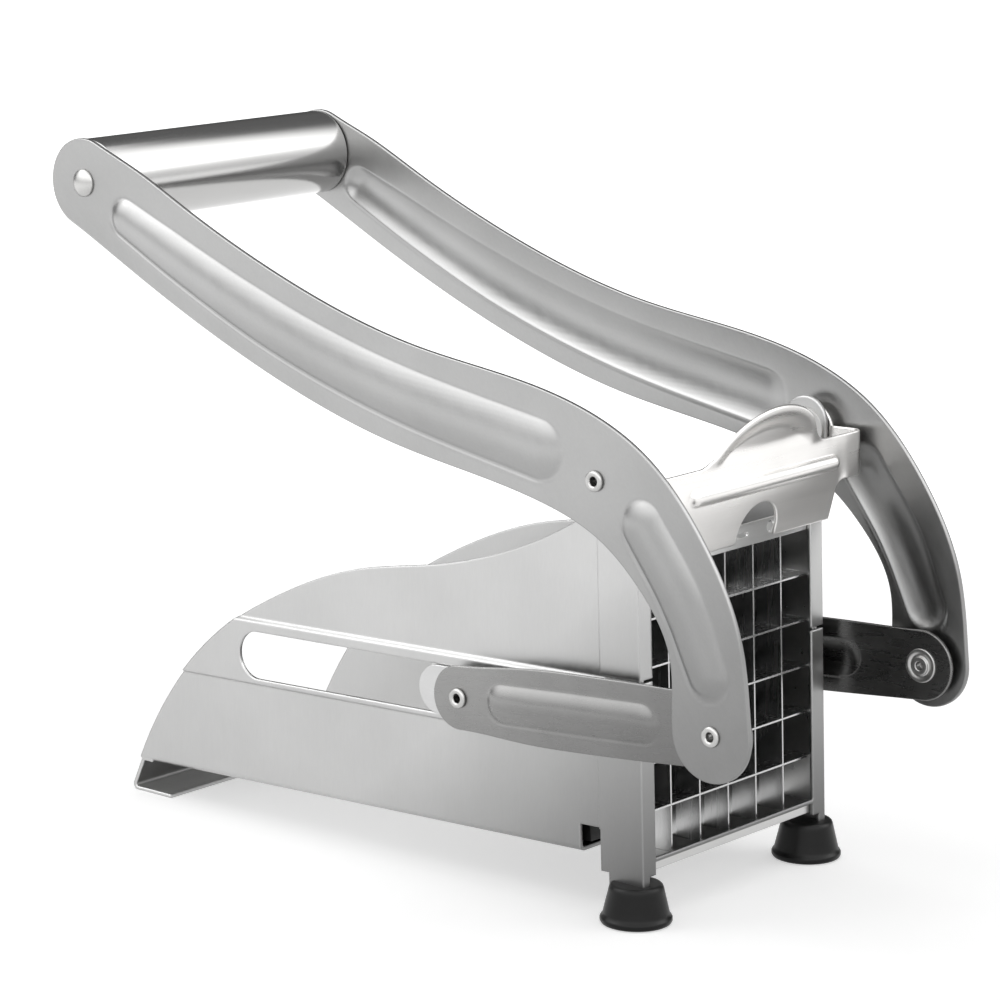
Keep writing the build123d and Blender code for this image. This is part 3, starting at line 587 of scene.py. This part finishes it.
def armRow(end, key):
    # one row of stations between the pivot and another end of the arm
    return [(onChord(shell["pivot"], shell[end], share, bow), half) for share, bow, half in armLook[key]]


def armStations():
    # the strip from the handle's axis past the pivot to the crank pin
    ends = (shell["handleAxis"], armLook["endHalf"]), (shell["crankPin"], armLook["tipHalf"])
    return [ends[0], *armRow("handleAxis", "rear"), *armRow("crankPin", "front"), ends[1]]


def armRibs():
    # a long rib behind the pivot and a short one in front of it
    rows = armRow("handleAxis", "longRib"), armRow("crankPin", "shortRib")
    return [pressedRib(row, armLook) for row in rows]


for side, sign in sides.items():
    arm = pressedSheet("leverArm." + side, armStations(), armRibs(), armLook, sign)
    boreSheet(arm, armLook, sign, (shell["pivot"], armLook["bore"]), (shell["crankPin"], armLook["bore"]),
              (shell["handleAxis"], armLook["handleBore"]))
    finishPiece(arm, "brushed_lever", "lever", "arm_" + side)
print("lever arms pressed")

# links: a station is its share of the way from the slider pin to the crank pin and its half width

linkLook = dict(
    inner=43.2, outer=44.4, outline=[(0.0, 8.6), (0.25, 9.9), (0.5, 10.2), (0.75, 9.9), (1.0, 9.5)],
    rib=[(0.175, 5.1), (0.45, 5.2), (0.71, 5.1)], dish=0.0, ribHeight=1.6, full=1.0, foot=0.07, groove=0.16,
    lip=0.04, edge=0.25, bore=1.9, rows=130, columns=85,
)


def linkRow(key):
    # one row of stations between the slider pin and the crank pin
    return [(onChord(shell["sliderPin"], shell["crankPin"], share, 0), half) for share, half in linkLook[key]]


for side, sign in sides.items():
    ribs = [pressedRib(linkRow("rib"), linkLook)]
    link = pressedSheet("link." + side, linkRow("outline"), ribs, linkLook, sign)
    boreSheet(link, linkLook, sign, *((shell[pin], linkLook["bore"]) for pin in ("sliderPin", "crankPin")))
    # the links take the darker painted-shade copy of the lever's steel
    finishPiece(link, "brushed_lever", "link_" + side, "link_" + side, look="link_steel_painted_shade")
print("links pressed")

# handle tube and its rivets

tubeLook = dict(radius=12.0, wall=1.0, end=46.42, roll=0.7, around=128)


def tubeProfile():
    # the outside from one end to the other, each end rolled in by a quarter circle
    radius, end, roll = tubeLook["radius"], tubeLook["end"], tubeLook["roll"]
    inside = radius - tubeLook["wall"]
    nearRoll = arcProfile((radius - roll, -(end - roll)), roll, -90, 0)
    farRoll = arcProfile((radius - roll, end - roll), roll, 0, 90)
    return [(inside, -end)] + nearRoll + farRoll + [(inside, end), (inside, -end)]


tube = turned("handleTube", tubeProfile(), shell["handleAxis"], 1, tubeLook["around"])
finishPiece(tube, "polished_tube", "lever", "handle_tube")

domeLook = dict(radius=3.8, height=2.0, shank=2.35, length=8.0, skirt=0.5, arcRows=12, around=64)


def domeProfile(outer):
    # a shank and, on a short skirt, a cap of a ball that passes through the skirt's edge and the dome's top
    radius, shank, foot = domeLook["radius"], domeLook["shank"], outer - domeLook["length"]
    rise = domeLook["height"] - domeLook["skirt"]
    ball = (radius**2 + rise**2) / (2 * rise)
    start = math.degrees(math.acos(radius / ball))
    dome = arcProfile((0, outer + domeLook["height"] - ball), ball, start, 90, domeLook["arcRows"])
    return [(0, foot), (shank, foot), (shank, outer), (radius, outer)] + dome


for side, sign in sides.items():
    profile = domeProfile(armLook["outer"])
    rivet = turned("handleRivet." + side, profile, shell["handleAxis"], sign, domeLook["around"])
    finishPiece(rivet, "rivet_steel", "lever", "handle_rivet_" + side)
print("handle turned")

# tubular rivets: past is how many degrees the rolled head turns on towards the sheet

rivetLook = dict(bore=1.15, shank=1.9, head=2.7, height=0.9, past=25, squash=1.35, lift=0.3, arcRows=14)


def rivetProfile(inner, outer, shoulder=None):
    # a closed tube section: up the bore, over the rolled head, down the shank, round the other end
    look = rivetLook
    bore, shank = look["bore"], look["shank"]
    roll, middle = (look["head"] - bore) / 2, (look["head"] + bore) / 2
    squeeze = look["height"] / roll / look["squash"]
    top = arcProfile((0, 0), roll, 180, -look["past"], look["arcRows"])
    points = [(middle + x, outer + look["lift"] + y * squeeze) for x, y in top] + [(shank, outer)]
    if shoulder:
        radius, height = shoulder
        points += [(shank, height), (radius, height), (radius, inner), (bore, inner)]
    else:
        low = arcProfile((0, 0), roll, look["past"], -180, look["arcRows"])
        points += [(shank, inner)] + [(middle + x, inner - look["lift"] + y * squeeze) for x, y in low]
    return points + points[:1]


# each rivet: its centre, its inner and outer end with a shoulder where it has one, its body and its nodes
rivetPlaces = {
    "pivotRivet": (shell["pivot"], (40.2, 48.2), "body", "pivot_rivet_"),
    "crankRivet": (shell["crankPin"], (44.7, 48.0, (4.2, 46.5)), "lever", "crank_rivet_"),
    "sliderRivet": (shell["sliderPin"], (34.9, 44.6), "pusher", "slider_rivet_"),
}
for name, (centre, section, body, node) in rivetPlaces.items():
    for side, sign in sides.items():
        rivet = turned(name + "." + side, rivetProfile(*section), centre, sign)
        finishPiece(rivet, "rivet_steel", body, node + side)

# the pin inside each link: a rolled ring standing on a wide stepped head
linkPinLook = dict(
    inner=43.2, outer=44.4, bore=1.15, shank=1.9, ring=2.5, ringLift=0.6, step=3.3, stepHeight=0.2,
    stepSlope=0.15, head=4.6, thick=0.45, high=0.9, edge=0.25, arcRows=12, edgeRows=4,
)


def linkPinProfile():
    # a closed section: along the bore, round the ring, over the step, round the head's edge and up the shank
    look = linkPinLook
    bore, shank, inner, outer, edge = (look[key] for key in ("bore", "shank", "inner", "outer", "edge"))
    ring, face, top = (look["ring"] - bore) / 2, inner - look["thick"], inner - look["high"]
    rolled = arcProfile((bore + ring, top + ring * look["ringLift"]), ring, 180, 360, look["arcRows"])
    step = face + look["stepHeight"]
    return [
        (bore, outer), *((x, max(y, top)) for x, y in rolled),
        (look["ring"], step), (look["step"], step), (look["step"] + look["stepSlope"], face),
        *arcProfile((look["head"] - edge, face + edge), edge, -90, 0, look["edgeRows"]),
        (look["head"], inner), (shank, inner), (shank, outer), (bore, outer),
    ]


for side, sign in sides.items():
    linkPin = turned("linkPin." + side, linkPinProfile(), shell["crankPin"], sign)
    finishPiece(linkPin, "rivet_steel", "link_" + side, "link_pin_" + side)
print("rivets rolled")

# cap: one sheet bent round both corners, with a rolled bead, a thumb tab and a notch in its lower edge. Below
# the shoulder the lower edge turns up: straight for a share of its height, then in a round into the cheek

capLook = dict(
    front=15.3, half=43.8, corner=3.4, sheet=1.0, top=117.6, knee=108.4, lip=(11.3, 94.6),
    shoulder=(32.3, 35.4), upright=0.74, cheekLow=105.6, cheekFront=11.3, boss=7.0, bore=1.95,
    notch=8.5, notchUp=2.24, beadHalf=31.5, beadHeight=110.6, beadRadius=2.3, beadSink=0.5,
    tabEdge=[(26.8, 0.0), (24.2, 0.5), (21.4, 2.3), (18.4, 6.1), (13.8, 10.1), (7.4, 12.9)], tabHeight=13.9,
    lean=22, leanDrop=2.0, leanHalf=25.0, dish=1.5, rim=0.35,
)
# how softly the cap's bends run out, in mm: start and length of each fade, width of each rounded corner
capBlend = dict(
    kneeWidth=2.4, tabWidth=0.9, beadWidth=0.25, beadSlope=1.5, shoulderFade=4, tabFade=(26.0, 4),
    dishRim=(1.3, 5.5), dishFoot=(-0.8, 6.5),
)
# how the cap is drawn: rows below the bead, from there to the tab's root and up the tab, where those rows
# meet, and columns from the middle out; a jump is the width of an upright step in the outline, tabEnd the way
# the tab's edge runs out, probe the step over which the surface's slope is taken, and boreRoom where the
# pivot's bores start and end, beside the cheek's outer face
capDetail = dict(
    rows=(46, 44, 44), beadBelow=3.2, tabBelow=3.0, arcColumns=26, frontColumns=56, flatColumns=8,
    bendColumns=14, jump=0.08, notchJump=0.0001, notchGap=0.3, tabEnd=(1, -0.05), probe=0.03, edgeRows=7,
    edgePoints=400, boreRoom=(-3, 2),
)
capBendEnd = capLook["half"] - capLook["corner"] + capLook["corner"] * math.pi / 2


def soft(x, width):
    # 0 below and x above, with a rounded corner of the given width
    return (x + np.sqrt(x**2 + width**2)) / 2


def smoothStep(x):
    # 0 below 0, 1 above 1, and in between three times the square less twice the cube
    x = np.clip(x, 0, 1)
    return x * x * (3 - 2 * x)


def capColumns():
    # places along the sheet from its middle to the rear end of a cheek, closer where the outline turns
    look, detail = capLook, capDetail
    notch, boss, flatEnd, jump = look["notch"], look["boss"], look["half"] - look["corner"], detail["jump"]
    first, last = look["shoulder"]
    pivotAt = capBendEnd + look["front"] - look["corner"] - shell["pivot"][0]
    turn = np.linspace(0, math.pi / 2, detail["arcColumns"])
    return np.concatenate([
        notch * np.sin(turn[:-1]) * (1 - detail["notchJump"]), [notch * (1 + detail["notchJump"])],
        np.linspace(notch + detail["notchGap"], first, detail["frontColumns"]),
        [first + jump],
        last - (last - first - jump) * np.cos(turn[1:]),
        np.linspace(last, flatEnd, detail["flatColumns"])[1:],
        np.linspace(flatEnd, capBendEnd, detail["bendColumns"])[1:],
        np.linspace(capBendEnd, pivotAt - boss, detail["bendColumns"])[1:],
        pivotAt - boss * np.sin(math.pi / 2 - turn[1:]),
        pivotAt + boss * np.sin(turn[1:]),
    ])


def capPlan(along):
    # plan of the outer face: straight across the front, round the corner, back along the cheek
    look = capLook
    flat = look["half"] - look["corner"]
    size = np.abs(along)
    turn = np.clip((size - flat) / look["corner"], 0, math.pi / 2)
    u = look["front"] - look["corner"] * (1 - np.cos(turn)) - np.maximum(size - capBendEnd, 0)
    y = np.minimum(size, flat) + look["corner"] * np.sin(turn)
    return u, np.sign(along) * y, turn


def capOutline(along):
    # lower and upper edge of the sheet at each place along it, as heights above the knee
    look = capLook
    size = np.abs(along)
    u = capPlan(along)[0]
    pivotU, pivotW = shell["pivot"]
    lean = np.hypot(look["front"] - look["lip"][0], look["knee"] - look["lip"][1])
    notch = look["notchUp"] - lean + np.sqrt(np.maximum(look["notch"] ** 2 - size**2, 0))
    low = np.where(size < look["notch"], notch, -lean)
    slope = (pivotW - look["boss"] - look["cheekLow"]) / (look["cheekFront"] - pivotU)
    rise = slope * (look["cheekFront"] - u)
    cheek = look["cheekLow"] - look["knee"] + np.maximum(rise, 0)
    first, last = look["shoulder"]
    jump = capDetail["jump"]
    turnIn = np.clip((size - first - jump) / (last - first - jump), 0, 1)
    share = np.clip((size - first) / jump, 0, 1) * look["upright"]
    share += (1 - look["upright"]) * np.sqrt(1 - (1 - turnIn) ** 2)
    low = np.where(size > first, low + (cheek - low) * share, low)
    ball = np.sqrt(np.maximum(look["boss"] ** 2 - (u - pivotU) ** 2, 0))
    low = np.where((size > capBendEnd) & (u < pivotU), pivotW - look["knee"] - ball, low)
    points = np.concatenate([[[0, look["tabHeight"]]], look["tabEdge"][::-1]])
    curve = splineThrough(points, (1, 0), capDetail["tabEnd"], capDetail["edgePoints"])
    high = look["top"] - look["knee"] + np.interp(size, curve[:, 0], curve[:, 1], right=0.0)
    arch = pivotW - look["knee"] + ball
    high = np.where(size > capBendEnd, np.where(u > pivotU, np.maximum(high, arch), arch), high)
    return low, high


def capSurface(along, height):
    # outer face at a place along the sheet and a height above the knee: it leans back below the knee and
    # forward at the tab, swells by the bead (a half circle about a line) and sinks by the dish
    look, blend = capLook, capBlend
    size = np.abs(along)
    u, y, turn = capPlan(along)
    tilt = math.atan2(look["front"] - look["lip"][0], look["knee"] - look["lip"][1])
    below = soft(-height, blend["kneeWidth"])
    below = below * (1 - smoothStep((size - look["shoulder"][0]) / blend["shoulderFade"]))
    drop = look["leanDrop"] * np.maximum(1 - (size / look["leanHalf"]) ** 2, 0)
    bendLine = look["top"] - look["knee"] - drop
    fadeStart, fadeLength = blend["tabFade"]
    window = 1 - smoothStep((size - fadeStart) / fadeLength)
    above = soft(height - bendLine, blend["tabWidth"]) * window
    lean = math.radians(look["lean"])
    w = look["knee"] + height + (1 - math.cos(tilt)) * below - (1 - math.cos(lean)) * above
    out = -math.sin(tilt) * below + math.sin(lean) * above
    away = np.hypot(np.maximum(size - look["beadHalf"] + look["beadRadius"], 0), w - look["beadHeight"])
    swell = np.sqrt(np.maximum(look["beadRadius"] ** 2 - away**2, 0)) - look["beadSink"]
    swell -= blend["beadSlope"] * np.maximum(away - look["beadRadius"], 0)
    out = out + soft(swell, blend["beadWidth"])
    high = capOutline(along)[1]
    rimStart, rimLength = blend["dishRim"]
    footStart, footLength = blend["dishFoot"]
    inside = smoothStep((high - height - rimStart) / rimLength)
    inside = inside * smoothStep((height - bendLine - footStart) / footLength) * window
    out = out - look["dish"] * inside
    return np.stack([u + out * np.cos(turn), y + np.sign(along) * out * np.sin(turn), w], -1)


def buildCap():
    # a grid of places along the sheet and heights, in even rows from the lower edge to the bead, the tab's
    # root and the upper edge; the inner face lies a sheet in along the normal, and half an ellipse is the rim
    look, detail = capLook, capDetail
    half = capColumns()
    along = np.concatenate([-half[:0:-1], half])
    low, high = capOutline(along)
    low, high = low + look["rim"], np.maximum(high - look["rim"], low + look["rim"])
    marks = [low, np.clip(look["beadHeight"] - look["knee"] - detail["beadBelow"], low, high),
             np.clip(look["top"] - look["knee"] - detail["tabBelow"], low, high), high]
    rows = [marks[0][None]]
    for index, count in enumerate(detail["rows"]):
        share = np.linspace(0, 1, count + 1)[1:, None]
        rows.append(marks[index] * (1 - share) + marks[index + 1] * share)
    height = np.concatenate(rows)
    along = np.broadcast_to(along, height.shape)
    outer = capSurface(along, height)
    step = detail["probe"]
    across = capSurface(along + step, height) - capSurface(along - step, height)
    upright = capSurface(along, height + step) - capSurface(along, height - step)
    normal = unit(np.cross(across, upright))
    inner = outer - normal * look["sheet"]
    count, columns = height.shape
    index = np.arange(count * columns).reshape(count, columns)
    loop = np.concatenate([index[0], index[1:, -1], index[-1, -2::-1], index[-2:0:-1, 0]])
    edge, face = outer.reshape(-1, 3)[loop], normal.reshape(-1, 3)[loop]
    way = np.roll(edge, -2, 0) - np.roll(edge, 2, 0)
    way /= np.maximum(np.linalg.norm(way, axis=1), 1e-6)[:, None]
    outward = np.cross(way, face)
    turn = np.linspace(0, math.pi, detail["edgeRows"])[:, None, None]
    middle = edge - face * look["sheet"] / 2
    rim = middle + face * np.cos(turn) * look["sheet"] / 2 + outward * np.sin(turn) * look["rim"]
    vertices = np.concatenate([sheet.reshape(-1, 3) for sheet in (outer, inner, rim)])
    faces = np.concatenate([
        gridFaces(count, columns), gridFaces(count, columns, count * columns)[:, ::-1],
        gridFaces(detail["edgeRows"], len(loop), 2 * count * columns, wrap=True),
    ])
    return meshFromArrays("bladeCap", toFrame(vertices), faces)


cap = buildCap()
capBehind, capBefore = (capLook["half"] + room for room in capDetail["boreRoom"])
for sign in sides.values():
    boreThrough(cap, shell["pivot"], capLook["bore"], sign, capBehind, capBefore)
finishPiece(cap, "brushed_cap", "cap", "blade_cap")
print("cap pressed")

# rubber feet: the profile is (radius, height) from the middle of the underside up

footLook = dict(centre=(-0.4, 37.0), around=72, profile=[
    (0, 0), (8.5, 0), (9.1, 0.2), (9.4, 0.7), (9.4, 1.4), (9.2, 1.8), (8.85, 2.1), (8.62, 2.8), (8.2, 4.6),
    (7.72, 6.6), (7.25, 8.6), (7.1, 9.3), (6.85, 9.9), (6.4, 10.28), (5.8, 10.4), (0, 10.4)])

for side, sign in sides.items():
    u, y = footLook["centre"]
    foot = turnedUpright("rubberFoot." + side, footLook["profile"], (u, sign * y), footLook["around"])
    finishPiece(foot, "black_rubber", "body", "rubber_foot_" + side)
print("feet moulded")

# floor, light and camera

floorLook = dict(
    radius=6.0, colour=(0.8, 0.8, 0.8), lift=0.48, farLift=0.9, near=0.2, far=0.6, rough=0.9, around=96,
)


def buildFloor():
    # a round sheet of matt paper, whose glow only the camera and reflections see
    angle = np.linspace(0, 2 * math.pi, floorLook["around"], endpoint=False)
    ring = np.stack([floorLook["radius"] * np.cos(angle), floorLook["radius"] * np.sin(angle), 0 * angle], -1)
    mesh = bpy.data.meshes.new("floor")
    mesh.from_pydata(ring.tolist(), [], [list(range(floorLook["around"]))])
    material, tree, shader = newMaterial("floorPaper")
    shader["Base Color"].default_value = (*floorLook["colour"], 1)
    shader["Roughness"].default_value = floorLook["rough"]
    shader["Specular IOR Level"].default_value = 0.0
    shader["Emission Color"].default_value = (1, 1, 1, 1)
    # the paper is lit less away from the object, so its own white grows with the distance
    place = addNode(tree, "ShaderNodeTexCoord").outputs["Object"]
    length = addNode(tree, "ShaderNodeVectorMath", {0: place}, operation="LENGTH").outputs["Value"]
    ends = (floorLook[key] for key in ("lift", "farLift", "near", "far"))
    spread = mixRange(tree, length, *ends, interpolation_type="SMOOTHSTEP")
    path = addNode(tree, "ShaderNodeLightPath").outputs
    seen = mathNode(tree, "ADD", path["Is Camera Ray"], path["Is Glossy Ray"])
    seen = mathNode(tree, "ADD", seen, path["Is Transmission Ray"], clamp=True)
    feed(tree, shader["Emission Strength"], mathNode(tree, "MULTIPLY", seen, spread))
    mesh.materials.append(material)
    floor = putInScene("floor", mesh)


buildFloor()

# what metal sees of the studio above the floor: height of each step (0 horizon, 1 overhead) and its
# brightness as a share of the peak, which is in units of white, and a dark side of the room
worldLook = dict(
    steps=[(0.0, 0.40), (0.12, 0.48), (0.28, 0.75), (0.42, 0.95), (0.6, 1.0), (1.0, 0.6)], peak=2.3,
    darkWay=(-0.65, 0.76), darkFrom=0.30, darkTo=0.60, dark=0.93, fill=0.45,
)


def buildWorld():
    # seen directly the world is white; metal sees it grow brighter with height, and dark at the rear left
    look = worldLook
    world = bpy.data.worlds.new("studio")
    bpy.context.scene.world = world
    world.use_nodes = True
    tree = world.node_tree
    background = tree.nodes["Background"]
    path = addNode(tree, "ShaderNodeLightPath").outputs
    place = addNode(tree, "ShaderNodeTexCoord").outputs["Generated"]
    split = addNode(tree, "ShaderNodeSeparateXYZ", {0: place}).outputs
    ramp = addNode(tree, "ShaderNodeValToRGB", {0: split[2]})
    ramp.color_ramp.interpolation = "EASE"
    stops = ramp.color_ramp.elements
    while len(stops) < len(look["steps"]):
        stops.new(0.5)
    for stop, (position, bright) in zip(stops, look["steps"]):
        stop.position = position
        stop.color = (bright, bright, bright, 1)
    wayX, wayY = look["darkWay"]
    toward = mathNode(tree, "MULTIPLY_ADD", split[0], wayX, mathNode(tree, "MULTIPLY", split[1], wayY))
    levels = look["peak"], look["peak"] * (1 - look["dark"])
    level = mixRange(tree, toward, *levels, look["darkFrom"], look["darkTo"], interpolation_type="SMOOTHSTEP")
    level = mathNode(tree, "MULTIPLY", ramp.outputs[0], level)
    glossy = mathNode(tree, "ADD", path["Is Glossy Ray"], path["Is Transmission Ray"], clamp=True)
    rest = mathNode(tree, "SUBTRACT", 1.0, mathNode(tree, "ADD", glossy, path["Is Camera Ray"], clamp=True))
    strength = mathNode(tree, "MULTIPLY", level, glossy)
    strength = mathNode(tree, "ADD", strength, mathNode(tree, "MULTIPLY", rest, look["fill"]))
    strength = mathNode(tree, "ADD", strength, path["Is Camera Ray"])
    background.inputs["Color"].default_value = (1, 1, 1, 1)
    feed(tree, background.inputs["Strength"], strength)


buildWorld()

# each lamp: place and what it looks at, in metres, its size and its power in watts
lampLooks = {
    "keyLeft": dict(place=(-1.2, -0.9, 1.7), aim=(0.0, 0.0, 0.08), size=(1.0, 1.0), power=7),
    "topSoft": dict(place=(0.1, 0.3, 1.9), aim=(0.0, 0.0, 0.0), size=(1.6, 1.6), power=8),
    "rearRight": dict(place=(1.3, 1.3, 1.3), aim=(0.0, 0.0, 0.08), size=(0.9, 1.2), power=4),
}


def buildLamps():
    # area lamps, each turned towards what it looks at
    for name, look in lampLooks.items():
        light = bpy.data.lights.new(name, "AREA")
        light.shape = "RECTANGLE"
        light.size, light.size_y = look["size"]
        light.energy = look["power"]
        lamp = putInScene(name, light)
        lamp.location = look["place"]
        way = Vector(look["aim"]) - Vector(look["place"])
        lamp.rotation_euler = way.to_track_quat("-Z", "Y").to_euler()


buildLamps()

cameraLook = dict(
    place=(0.654855, -0.7692, 0.3126), azimuth=40.38, elevation=12.25, roll=0.14, lens=137.195, sensor=36.0,
    clipEnd=50,
)


def buildCamera():
    # it looks along its azimuth, down by its elevation, and then rolls about that way
    azimuth, elevation, roll = (math.radians(cameraLook[key]) for key in ("azimuth", "elevation", "roll"))
    forward = Vector((-math.sin(azimuth) * math.cos(elevation), math.cos(azimuth) * math.cos(elevation),
                      -math.sin(elevation)))
    level = Vector((math.cos(azimuth), math.sin(azimuth), 0))
    upright = level.cross(forward)
    right = math.cos(roll) * level + math.sin(roll) * upright
    upright = math.cos(roll) * upright - math.sin(roll) * level
    data = bpy.data.cameras.new("camera")
    data.lens = cameraLook["lens"]
    data.sensor_width = cameraLook["sensor"]
    data.sensor_fit = "HORIZONTAL"
    data.clip_end = cameraLook["clipEnd"]
    camera = putInScene("camera", data)
    turn = Matrix((right, upright, -forward)).transposed().to_4x4()
    camera.matrix_world = Matrix.Translation(cameraLook["place"]) @ turn
    bpy.context.scene.camera = camera


buildCamera()
bpy.context.scene.view_settings.view_transform = "Standard"
print("light and camera set")
